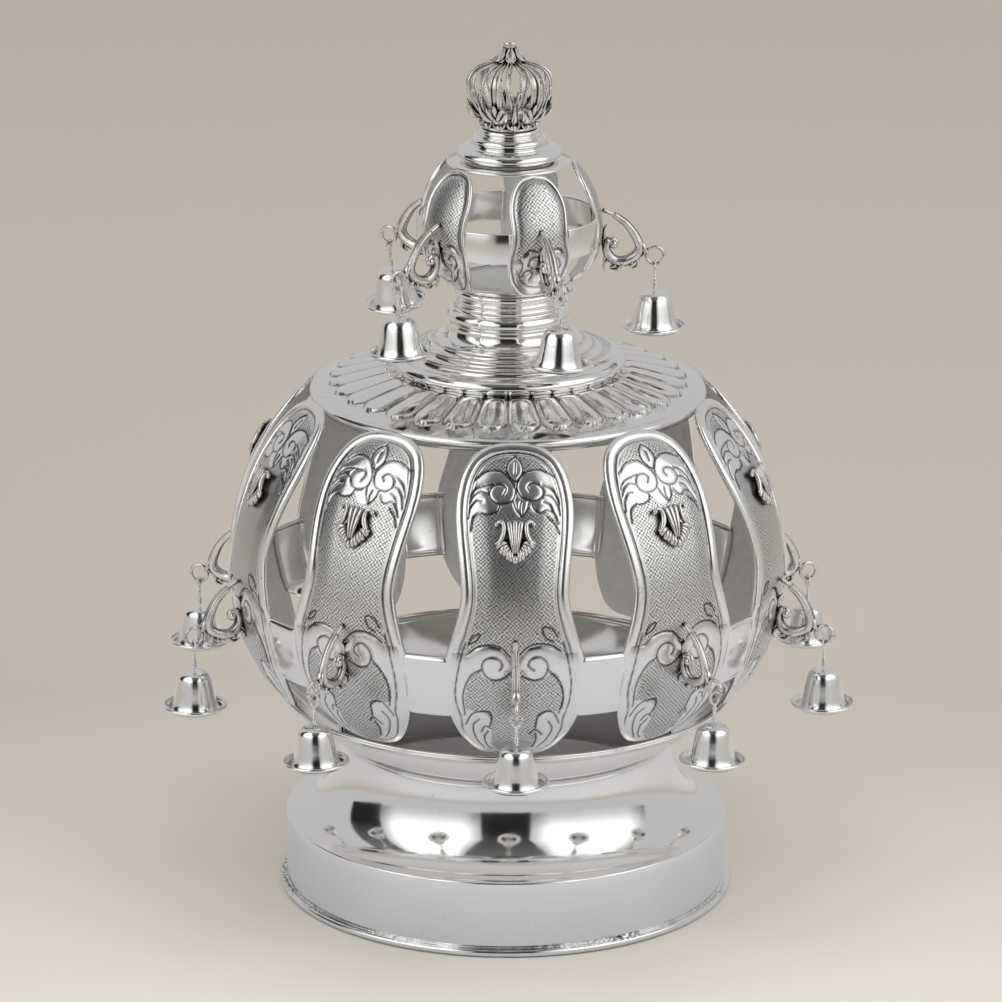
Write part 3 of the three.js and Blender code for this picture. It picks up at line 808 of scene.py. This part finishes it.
# outlines in the bracket's own plane: (how far out, how high) in mm
scrollLine = [(0.4, 0.2), (3.2, -1.2), (6.3, -2.8), (10.2, -5.9), (12.9, -9.5), (14.7, -12.8), (15.4, -15.4),
              (14.7, -17.6), (12.6, -19.6), (9.6, -21.0), (6.4, -21.0), (3.7, -19.2), (2.1, -16.2),
              (2.5, -13.2), (4.5, -11.9), (6.2, -12.9), (6.0, -14.7), (4.6, -15.0)]
bracketLeaves = [([(14.6, -13.0), (17.0, -14.8), (17.6, -17.2), (15.6, -19.4)], 1.3, 0.8),
                 ([(12.8, -19.4), (14.6, -20.8), (14.6, -22.8), (12.4, -24.0)], 1.0, 0.7),
                 ([(9.8, -21.0), (8.0, -22.8), (6.0, -24.4), (3.6, -24.0)], 1.5, 0.7),
                 ([(3.6, -19.6), (1.8, -21.0), (1.0, -23.0), (1.6, -24.8)], 1.0, 0.6),
                 ([(2.4, -13.4), (1.2, -10.8), (1.2, -8.0), (2.6, -5.6)], 0.9, 0.7),
                 ([(2.2, -15.8), (0.9, -14.4), (0.8, -12.2), (0.7, -9.8)], 0.8, 0.6),
                 ([(15.2, -15.8), (17.4, -16.4), (18.6, -17.6), (18.9, -18.4)], 1.1, 0.9)]
bracketSprigs = [[(6.5, -21.4), (5.0, -23.0), (3.4, -23.4)], [(11.6, -20.2), (12.6, -22.2), (11.2, -23.2)],
                 [(3.0, -18.4), (1.6, -19.4), (0.9, -21.2)]]


def bracketMesh():
    # cast scroll with leaves and a ring, in its own plane: x stays 0 and it reaches along -Y
    bm = bmesh.new()
    v = bracketValues

    def flat(points, count):
        return [(0, -o, h) for o, h in smoothPath(points, count)]

    arm = flat(scrollLine, 64)
    sweepInto(bm, arm, [1.0, 1.1, 1.3, 1.6, 1.9, 2.0, 1.8, 1.6, 1.4, 1.1],
              [0.8, 0.9, 1.1, 1.45, 1.75, 1.8, 1.6, 1.4, 1.2, 0.9], 12)
    for shift in (-1, 1):
        ridge = [(shift * 1.0, y, z) for x, y, z in arm[6:56]]
        sweepInto(bm, ridge, [0.45, 0.55, 0.65, 0.5], [1.1, 1.7, 2.0, 1.5], 6)
    ballInto(bm, (0, -4.9, -13.9), 1.9, (1.1, 1, 1))
    for points, width, depth in bracketLeaves:
        sweepInto(bm, flat(points, 9), [0.7 * width, 1.4 * width, 1.2 * width, 0.3],
                  [1.3 * depth, 1.4 * depth, 0.9 * depth, 0.25], 8)
    for shift in (-1, 1):
        for points in bracketSprigs:
            line = [(shift * (0.6 + 0.9 * k / 6), y, z) for k, (x, y, z) in enumerate(flat(points, 7))]
            sweepInto(bm, line, [0.6, 0.7, 0.2], [0.5, 0.5, 0.2], 6)
    angles = np.radians(np.arange(0, 361, 15))
    size = v["ringRadius"]
    hoop = [(0, -(v["ringOutward"] + size * math.cos(a)), -v["ringBelow"] + size * math.sin(a))
            for a in angles]
    sweepInto(bm, hoop, [v["ringWire"]] * 2, [v["ringWire"]] * 2, 8, up=(1, 0, 0))
    bmesh.ops.recalc_face_normals(bm, faces=bm.faces)
    mesh = bpy.data.meshes.new("bracket shape")
    bm.to_mesh(mesh)
    bm.free()
    return mesh


bellValues = {"radius": 13.15, "height": 16.2, "hook": 14.6,
              "side": [(0.01, 0.0), (2.8, 0.05), (4.9, 0.6), (6.2, 1.9), (6.9, 4.0), (7.6, 7.2), (8.2, 10.2),
                       (8.7, 12.4), (9.3, 14.0), (10.1, 15.1), (11.0, 15.5), (11.8, 15.2), (12.4, 14.5)]}


def bellMesh():
    # bell and its twisted wire: the origin is the middle of the ring that it hangs from
    v = bellValues
    top = -v["hook"]
    rim = top - v["height"]
    outer = [tuple(p) for p in smoothPath([(r, top - drop) for r, drop in v["side"]], 40)]
    roll = arcPoints((v["radius"] - 0.75, rim + 2.1), (0.75, 0.75), -100, 150, 12)
    inner = [(r - 0.75, z - 0.55) for r, z in outer[::-1][2:] if r > 0.9]
    outline = outer + roll[::-1] + inner + [(0.01, top - 0.8)]
    bm = bmesh.new()
    verts = [bm.verts.new((r * mm, 0, z * mm)) for r, z in outline]
    edges = [bm.edges.new((verts[i], verts[i + 1])) for i in range(len(verts) - 1)]
    bmesh.ops.spin(bm, geom=verts + edges, cent=(0, 0, 0), axis=(0, 0, 1), angle=fullTurn, steps=56,
                   use_merge=True, use_duplicate=False)
    bmesh.ops.remove_doubles(bm, verts=bm.verts, dist=2e-5)
    ring = bracketValues["ringRadius"]
    loop = [(0.3, 0.2, top + 0.4), (0.1, 0, top + 3.0), (-0.2, 0.1, -ring - 3.8), (1.4, 0.1, -ring - 2.2),
            (2.2, 0, -ring - 0.4), (1.6, 0, -ring + 1.3), (0, 0, -ring + 1.9), (-1.6, 0, -ring + 1.3),
            (-2.1, 0, -ring - 0.4), (-1.2, 0, -ring - 2.2), (0.3, -0.2, -ring - 3.9), (-0.2, -0.3, top + 3.0)]
    wire = smoothPath(loop, 60)
    for start in (0, math.pi):
        twist = [(x + 0.3 * math.cos(start + k * 0.85), y + 0.3 * math.sin(start + k * 0.85), z)
                 for k, (x, y, z) in enumerate(wire)]
        sweepInto(bm, twist, [0.3] * 2, [0.3] * 2, 5, up=(0, 1, 0))
    coil = [(0.75 * math.cos(a), 0.75 * math.sin(a), top + 1.6 + 0.32 * a / fullTurn * 2)
            for a in np.linspace(0, 4 * fullTurn, 60)]
    sweepInto(bm, coil, [0.26] * 2, [0.26] * 2, 5)
    bmesh.ops.recalc_face_normals(bm, faces=bm.faces)
    mesh = bpy.data.meshes.new("bell shape")
    bm.to_mesh(mesh)
    bm.free()
    return mesh


def placedCopy(name, shape, matrix, material):
    bm = bmesh.new()
    bm.from_mesh(shape)
    bmesh.ops.transform(bm, matrix=matrix, verts=bm.verts)
    return finishObject(name, bm, [material])


def seatMatrix(turn, distance, height, tip):
    return (Matrix.Rotation(math.radians(turn), 4, "Z") @ Matrix.Translation((0, -distance * mm, height * mm))
            @ Matrix.Rotation(math.radians(tip), 4, "X"))


bracketShape = bracketMesh()
bellShape = bellMesh()
# how each bell leans: (sideways, in and out) in degrees
largeLean = [(0, 0), (1.5, 0), (0, 0), (0, 0), (-2, 0), (2, 0), (-2, 0), (0, 0), (0, 0), (-2, 0)]
smallLean = [(2, 0), (0, 0), (-3, 1), (11, 0), (-2, 1)]
brackets = []
bells = []


def placeBracketAndBell(index, prefix, turn, seat, height, droop, lean):
    name = f"{prefix}bracket_{index}"
    bracket = placedCopy(name + "_cast", bracketShape, seatMatrix(turn, seat, height, droop), cast)
    reach = math.hypot(bracketValues["ringOutward"], bracketValues["ringBelow"])
    angle = math.atan2(-bracketValues["ringBelow"], bracketValues["ringOutward"]) + math.radians(-droop)
    outward = seat + reach * math.cos(angle)
    level = height + reach * math.sin(angle)
    pivot = Matrix.Translation((0, 0, -(bracketValues["ringRadius"]) * mm))
    sideways = Matrix.Rotation(math.radians(lean[0]), 4, "Y")
    inAndOut = Matrix.Rotation(math.radians(lean[1]), 4, "X")
    place = seatMatrix(turn, outward, level, 0) @ pivot @ sideways @ inAndOut @ pivot.inverted()
    bell = placedCopy(f"{prefix}bell_{index}_spun", bellShape, place, bellSilver)
    return bracket, bell


for i, turn in enumerate(largeTurns):
    seat = float(largeRadius(np.array(138.8))) + 0.6
    bracket, bell = placeBracketAndBell(f"{i + 1:02d}", "", turn, seat, 138.8, 7.4, largeLean[i])
    brackets.append((bracket, f"bracket_{i + 1:02d}"))
    bells.append((bell, f"bell_{i + 1:02d}"))
for i, turn in enumerate(upperValues["turns"]):
    seat = float(upperRadius(np.array(281.5))) + 0.6
    bracket, bell = placeBracketAndBell(str(i + 1), "upper_", turn, seat, 281.5, 0, smallLean[i])
    brackets.append((bracket, f"upper_bracket_{i + 1}"))
    bells.append((bell, f"upper_bell_{i + 1}"))
print("brackets and bells made")


ornamentValues = {
    "height": 176.6, "fanRidges": 5, "flutes": [(-2.3, 6.4), (0, 6.7), (2.3, 6.4)],
    "horn": [(6.9, 5.9), (5.7, 6.4), (4.5, 5.8), (4.1, 3.8), (4.6, 1.6), (6.0, -0.4), (7.6, -0.9)],
    "plate": [(0, -7.2), (2.6, -6.4), (5.2, -3.6), (5.6, -0.8), (2.6, 1.2), (2.3, 4.0), (2.3, 6.0), (0, 6.2)],
}


def ornamentMesh():
    # cast shell: fluted keystone, curled horns on top and fans of ridges; it faces -Y
    bm = bmesh.new()
    v = ornamentValues
    for x, top in v["flutes"]:
        line = [(x * (0.28 + 0.72 * k / 9), -1.9 - 0.5 * math.sin(k / 9 * 2.6), -4.4 + (top + 4.4) * k / 9)
                for k in range(10)]
        sweepInto(bm, line, [0.5, 0.85, 1.1, 1.15], [0.6, 1.0, 1.0, 0.6], 10, up=(0, -1, 0))
    for side in (-1, 1):
        path = [(side * x, -1.7 - 0.5 * math.sin(math.pi * k / 23), z)
                for k, (x, z) in enumerate(smoothPath(v["horn"], 24))]
        sweepInto(bm, path, [0.5, 0.75, 0.95, 1.0, 0.85, 0.4], [0.6, 0.8, 1.0, 1.0, 0.8, 0.4], 8,
                  up=(0, -1, 0))
        ballInto(bm, (side * 6.9, -1.6, 5.5), 0.85)
        for k in range(v["fanRidges"]):
            spread = k / (v["fanRidges"] - 1)
            tip = (side * (7.0 - 5.6 * spread), -2.2 - 4.6 * spread ** 0.8 - (0.3 if k % 2 else 0))
            start = (side * (2.6 - 1.9 * spread), -0.6 - 2.6 * spread)
            middle = ((start[0] + tip[0]) / 2 + side * 0.4, (start[1] + tip[1]) / 2 + 0.5)
            path = [(x, -1.4 - 0.6 * math.sin(math.pi * j / 9), z)
                    for j, (x, z) in enumerate(smoothPath([start, middle, tip], 10))]
            sweepInto(bm, path, [0.45, 0.8, 1.05, 0.85], [0.5, 0.8, 1.0, 0.5], 8, up=(0, -1, 0))
    sweepInto(bm, [(0, -1.8, -4.6), (0, -2.2, -6.2), (0, -1.7, -7.6)], [0.8, 1.2, 0.9], [0.6, 0.9, 0.5], 8,
              up=(0, -1, 0))
    plate = v["plate"]
    rim = [bm.verts.new((x * mm, -0.3 * mm, z * mm)) for x, z in plate]
    rim += [bm.verts.new((-x * mm, -0.3 * mm, z * mm)) for x, z in plate[-2:0:-1]]
    face = bm.faces.new(rim)
    grown = bmesh.ops.extrude_face_region(bm, geom=[face])["geom"]
    front = [g for g in grown if isinstance(g, bmesh.types.BMVert)]
    bmesh.ops.translate(bm, vec=(0, -1.2 * mm, 0), verts=front)
    bmesh.ops.scale(bm, vec=(1.03, 1.1, 1.17), verts=bm.verts)
    bmesh.ops.recalc_face_normals(bm, faces=bm.faces)
    mesh = bpy.data.meshes.new("ornament shape")
    bm.to_mesh(mesh)
    bm.free()
    return mesh


ornamentShape = ornamentMesh()
ornaments = []
for i, turn in enumerate(largeTurns):
    height = ornamentValues["height"]
    slope = float(largeRadius(np.array(height - 0.5)) - largeRadius(np.array(height + 0.5)))
    lean = -math.degrees(math.atan(slope))
    seat = float(largeRadius(np.array(height))) + 0.5
    shellPiece = placedCopy(f"shell_{i + 1:02d}", ornamentShape, seatMatrix(turn, seat, height, lean), cast)
    ornaments.append((shellPiece, f"shell_ornament_{i + 1:02d}"))
print("shells made")


finialValues = {"ribs": 6, "firstRib": 38.0, "ridgeGap": 3.5, "petals": 6, "coronetLeaves": 12}
finialSide = [(9.9, 318.4), (12.0, 321.2), (14.5, 325.2), (16.1, 328.8), (16.6, 332.2), (16.3, 335.4),
              (14.9, 338.0), (12.1, 339.9), (8.8, 340.9), (5.4, 341.8), (2.6, 343.0)]


def buildFinial():
    # cast royal crown: coronet of leaves, ribs with two ridges, pointed loops between them, petals on top
    v = finialValues
    bm = bmesh.new()
    side = smoothPath(finialSide, 34)
    step = 360 / v["ribs"]
    for k in range(v["ribs"]):
        turn = v["firstRib"] + step * k
        band = [radialPoint(turn, r - 0.45, z) for r, z in side]
        sweepInto(bm, band, [1.2, 1.5, 1.6, 1.5, 1.1, 0.7], [0.35] * 2, 8)
        for lean in (-1, 1):
            gap = [v["ridgeGap"] * (1 + 0.9 * j / 33) * (1.25 - 0.25 * j / 33) for j in range(34)]
            ridge = [radialPoint(turn + lean * gap[j], r, z) for j, (r, z) in enumerate(side)]
            sweepInto(bm, ridge, [0.5, 0.62, 0.62, 0.6, 0.6], [0.6, 0.7, 0.7, 0.7, 0.6], 8)
            swing = np.interp(np.linspace(0, 1, 34), [0, 0.25, 0.5, 0.68, 0.85, 1],
                              [1.0, 5.0, 10.5, 12.5, 11.0, 3.0])
            loop = [radialPoint(turn + step / 2 + lean * swing[j], r - 0.5, z)
                    for j, (r, z) in enumerate(side)]
            sweepInto(bm, loop[:31], [0.7, 0.6, 0.5, 0.55, 0.5], [0.7, 0.6, 0.5, 0.55, 0.5], 8)
            curl = smoothPath([(3.0, 330.0), (6.5, 332.6), (8.5, 331.2), (7.0, 329.4)], 12)
            sweepInto(bm, [radialPoint(turn + step / 2 + lean * a, 16.6, z) for a, z in curl],
                      [0.3, 0.6, 0.6, 0.3], [0.3, 0.55, 0.55, 0.3], 6)
        for lean in (-15, -8.5, 0, 8.5, 15):
            drop = abs(lean) * 0.19
            leaf = smoothPath([(10.7, 318.2), (12.9, 320.6), (15.3, 323.8 - drop), (17.0, 327.2 - drop)], 11)
            path = [radialPoint(turn + lean * (0.25 + 1.0 * j / 10), r, z) for j, (r, z) in enumerate(leaf)]
            sweepInto(bm, path, [0.8, 1.6, 1.8, 1.4, 0.4], [0.5, 0.8, 0.8, 0.7, 0.3], 8)
        spear = smoothPath([(10.6, 318.2), (12.4, 320.4), (14.2, 323.2), (15.6, 327.0)], 11)
        sweepInto(bm, [radialPoint(turn + step / 2, r, z) for r, z in spear], [0.5, 1.3, 1.0, 0.2],
                  [0.5, 0.6, 0.6, 0.2], 8)
    for k in range(v["coronetLeaves"]):
        turn = 360 / v["coronetLeaves"] * k + 8
        ballInto(bm, radialPoint(turn, 10.9, 317.4), 1.35, (1.2, 1, 1.1), 10, 6)
        for lean in (-1, 1):
            curl = [radialPoint(turn + lean * a, 11.1, z) for a, z in
                    smoothPath([(2, 316.4), (9, 317.4), (13, 319.4), (9, 320.6), (6, 319.4)], 14)]
            sweepInto(bm, curl, [0.4, 0.65, 0.65, 0.4], [0.4, 0.6, 0.6, 0.4], 6)
    for k in range(v["petals"]):
        turn = 360 / v["petals"] * k + 4
        leaf = smoothPath([(2.2, 347.6), (3.1, 345.9), (4.5, 344.0), (6.6, 342.5)], 12)
        path = [radialPoint(turn, r, z) for r, z in leaf]
        sweepInto(bm, path, [0.7, 1.3, 1.7, 1.5, 0.3], [0.3, 0.35, 0.4, 0.4, 0.3], 8)
        for lean in (-1, 1):
            edge = [radialPoint(turn + lean * b, r + 0.35, z) for b, (r, z) in
                    zip(np.interp(np.linspace(0, 1, 12), [0, 0.4, 0.75, 1], [8, 22, 19, 1]), leaf)]
            sweepInto(bm, edge, [0.3, 0.38, 0.38, 0.3], [0.3, 0.38, 0.38, 0.3], 6)
    bmesh.ops.recalc_face_normals(bm, faces=bm.faces)
    cage = finishObject("finial_cage", bm, [cast])
    foot = spunPiece("finial_foot", ringStack([(11.6, 315.8, 317.0, 0.6), (10.6, 317.0, 320.8, 0.4)])
                     + [(8.6, 320.8), (8.6, 315.8)], 64, cast)
    stub = spunPiece("finial_stub", [(0.01, 343.0), (3.0, 343.2), (2.8, 344.6), (2.3, 346.2), (2.1, 347.2),
                                     (2.6, 347.9), (2.3, 348.4), (2.8, 348.9), (2.9, 349.5), (2.5, 349.9),
                                     (0.01, 349.9)], 40, cast)
    return joinPieces("finial_cast", [cage, foot, stub])


finial = buildFinial()
print("finial made")


stands = [(base, "base"), (shell, "crown_globe"), (collar, "collar"), (upperGlobe, "upper_globe"),
          (cap, "cap"), (finial, "finial")]
stands += brackets + bells + ornaments + [(panel, "crown_globe") for panel in panels]
for piece, node in stands:
    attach(piece, "root")
    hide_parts(node)


studioValues = {
    "boxStrength": 1.45, "boxDistance": 1150, "boxLow": 10, "boxHigh": 74, "worldColour": "#c6c5c6",
    "worldStrength": 1.0, "gapAngle": 16.0, "rightEnd": 100.0, "leftEnd": 88.0, "flagEnd": 114.0,
    "skySun": 1.15, "spread": 26.0, "lens": 195.1, "cameraPlace": (-0.0026, -2.091, 0.8106),
    "cameraRise": 72.7336, "cameraRoll": 0.29,
}


def curvedScreen(name, start, end, low, high, distance, material, spread=0.0):
    # a screen bent round the crown between two turns and two rises.
    # above the spread rise, an edge beside the camera moves away from it
    def mapping(u, v):
        rise = low + (high - low) * v
        spreadNow = spread * np.clip((rise - 38) / 30, 0, 1.3)
        near = start + spreadNow * (1 if start > 0 else -1 if start > -30 else 0)
        far = end + spreadNow * (-1 if -30 < end < 0 else 1 if 0 < end < 30 else 0)
        angle = np.radians(near + (far - near) * u)
        rise = np.radians(rise)
        flat = distance * np.cos(rise)
        place = np.stack([flat * np.sin(angle), -flat * np.cos(angle), distance * np.sin(rise)], 1)
        return place, {"millimetres": np.stack([u, v], 1)}

    screen = gridPiece(name, 40, 16, mapping, material)
    screen.visible_camera = False
    screen.visible_shadow = False
    return screen


def glowMaterial(name, strength):
    material = bpy.data.materials.new(name)
    material.use_nodes = True
    tree = material.node_tree
    tree.nodes.clear()
    plan = addNode(tree, "ShaderNodeUVMap", {"uv_map": "millimetres"}).outputs[0]
    split = addNode(tree, "ShaderNodeSeparateXYZ", {}, {0: plan})
    fades = []
    for source, edge in ((split.outputs[0], 0.2), (split.outputs[1], 0.3)):
        near = mathNode(tree, "MINIMUM", source, mathNode(tree, "SUBTRACT", 1.0, source))
        fades.append(addNode(tree, "ShaderNodeMapRange", {"interpolation_type": "SMOOTHSTEP", 1: 0.0, 2: edge,
                                                          3: 0.42, 4: 1.0}, {0: near}).outputs[0])
    power = mathNode(tree, "MULTIPLY", mathNode(tree, "MULTIPLY", fades[0], fades[1]), strength)
    glow = addNode(tree, "ShaderNodeEmission", {"Color": (1, 1, 1, 1)}, {"Strength": power})
    addNode(tree, "ShaderNodeOutputMaterial", {}, {"Surface": glow.outputs[0]})
    return material


def blackMaterial():
    material, tree, shader = newMaterial("black cloth")
    plan = addNode(tree, "ShaderNodeUVMap", {"uv_map": "millimetres"}).outputs[0]
    rise = addNode(tree, "ShaderNodeSeparateXYZ", {}, {0: plan}).outputs[1]
    haze = addNode(tree, "ShaderNodeMapRange", {1: 0.3, 2: 0.75, 3: 0.004, 4: 0.13}, {0: rise}).outputs[0]
    tree.links.new(haze, shader.inputs["Emission Strength"])
    shader.inputs["Emission Color"].default_value = (1, 1, 1, 1)
    shader.inputs["Base Color"].default_value = (0.006, 0.006, 0.006, 1)
    shader.inputs["Roughness"].default_value = 0.9
    return material


def floorMaterial():
    # painted pool of light: the floor colour is brightest just in front of the crown and fades outward, with
    # the middle lifted against the crown's shadow
    material, tree, shader = newMaterial("pale floor with painted light")
    place = addNode(tree, "ShaderNodeTexCoord").outputs["Object"]
    shifted = addNode(tree, "ShaderNodeVectorMath", {"operation": "ADD", 1: (0.0, 0.3, 0.0)},
                      {0: place}).outputs[0]
    length = addNode(tree, "ShaderNodeVectorMath", {"operation": "LENGTH"}, {0: shifted}).outputs["Value"]
    ramp = addNode(tree, "ShaderNodeValToRGB", {}, {0: mathNode(tree, "DIVIDE", length, 2.0)})
    lightPoolStops = ((0.09, "#ede7dc"), (0.28, "#c7bfb3"), (0.95, "#bdb5a8"))
    elements = ramp.color_ramp.elements
    elements[0].position, elements[0].color = lightPoolStops[0][0], linearColour(lightPoolStops[0][1])
    elements[1].position, elements[1].color = lightPoolStops[2][0], linearColour(lightPoolStops[2][1])
    middle = elements.new(lightPoolStops[1][0])
    middle.color = linearColour(lightPoolStops[1][1])
    # painted reflection: near the crown, glossy rays see the floor as a neutral light grey
    seen = addNode(tree, "ShaderNodeLightPath").outputs["Is Glossy Ray"]
    near = addNode(tree, "ShaderNodeMapRange", {1: 0.3, 2: 1.2, 3: 1.0, 4: 0.2}, {0: length}).outputs[0]
    paintedLightAndReflection = mixColour(tree, mathNode(tree, "MULTIPLY", seen, near), ramp.outputs[0], linearColour("#d9d8da"))
    tree.links.new(paintedLightAndReflection, shader.inputs["Base Color"])
    shader.inputs["Roughness"].default_value = 0.8
    shader.inputs["Specular IOR Level"].default_value = 0.1
    return material


v = studioValues
glow = glowMaterial("soft white box", v["boxStrength"])
black = blackMaterial()
low, high, far, gap = v["boxLow"], v["boxHigh"], v["boxDistance"], v["gapAngle"]
curvedScreen("right_box", gap, v["rightEnd"], low, high, far, glow, v["spread"])
curvedScreen("left_box", -v["leftEnd"], -gap, low, high, far, glow, v["spread"])
curvedScreen("camera_gap", -gap, gap, 9, 80, far + 20, black, v["spread"])
curvedScreen("left_flag", -v["flagEnd"], -v["leftEnd"], 9, 60, far + 20, black)

skyData = bpy.data.lights.new("soft top light", "SUN")
skyData.energy = v["skySun"]
skyData.angle = math.radians(70)
sky = bpy.data.objects.new("soft top light", skyData)
bpy.context.scene.collection.objects.link(sky)
sky.rotation_euler = (math.radians(8), 0, 0)
sky.visible_glossy = False

bpy.ops.mesh.primitive_plane_add(size=16, location=(0, 0, -0.0002))
floor = bpy.context.object
floor.name = "floor"
floor.data.materials.append(floorMaterial())

world = bpy.data.worlds.new("studio")
bpy.context.scene.world = world
world.use_nodes = True
worldBack = world.node_tree.nodes["Background"]
worldBack.inputs[0].default_value = linearColour(v["worldColour"])
worldBack.inputs[1].default_value = v["worldStrength"]

cameraData = bpy.data.cameras.new("camera")
cameraData.sensor_width = 36
cameraData.lens = v["lens"]
camera = bpy.data.objects.new("camera", cameraData)
bpy.context.scene.collection.objects.link(camera)
camera.location = v["cameraPlace"]
rise = Matrix.Rotation(math.radians(v["cameraRise"]), 3, "X")
roll = Matrix.Rotation(math.radians(v["cameraRoll"]), 3, "Z")
camera.rotation_euler = (rise @ roll).to_euler()
bpy.context.scene.camera = camera
bpy.context.scene.view_settings.view_transform = "Standard"
print("studio made")
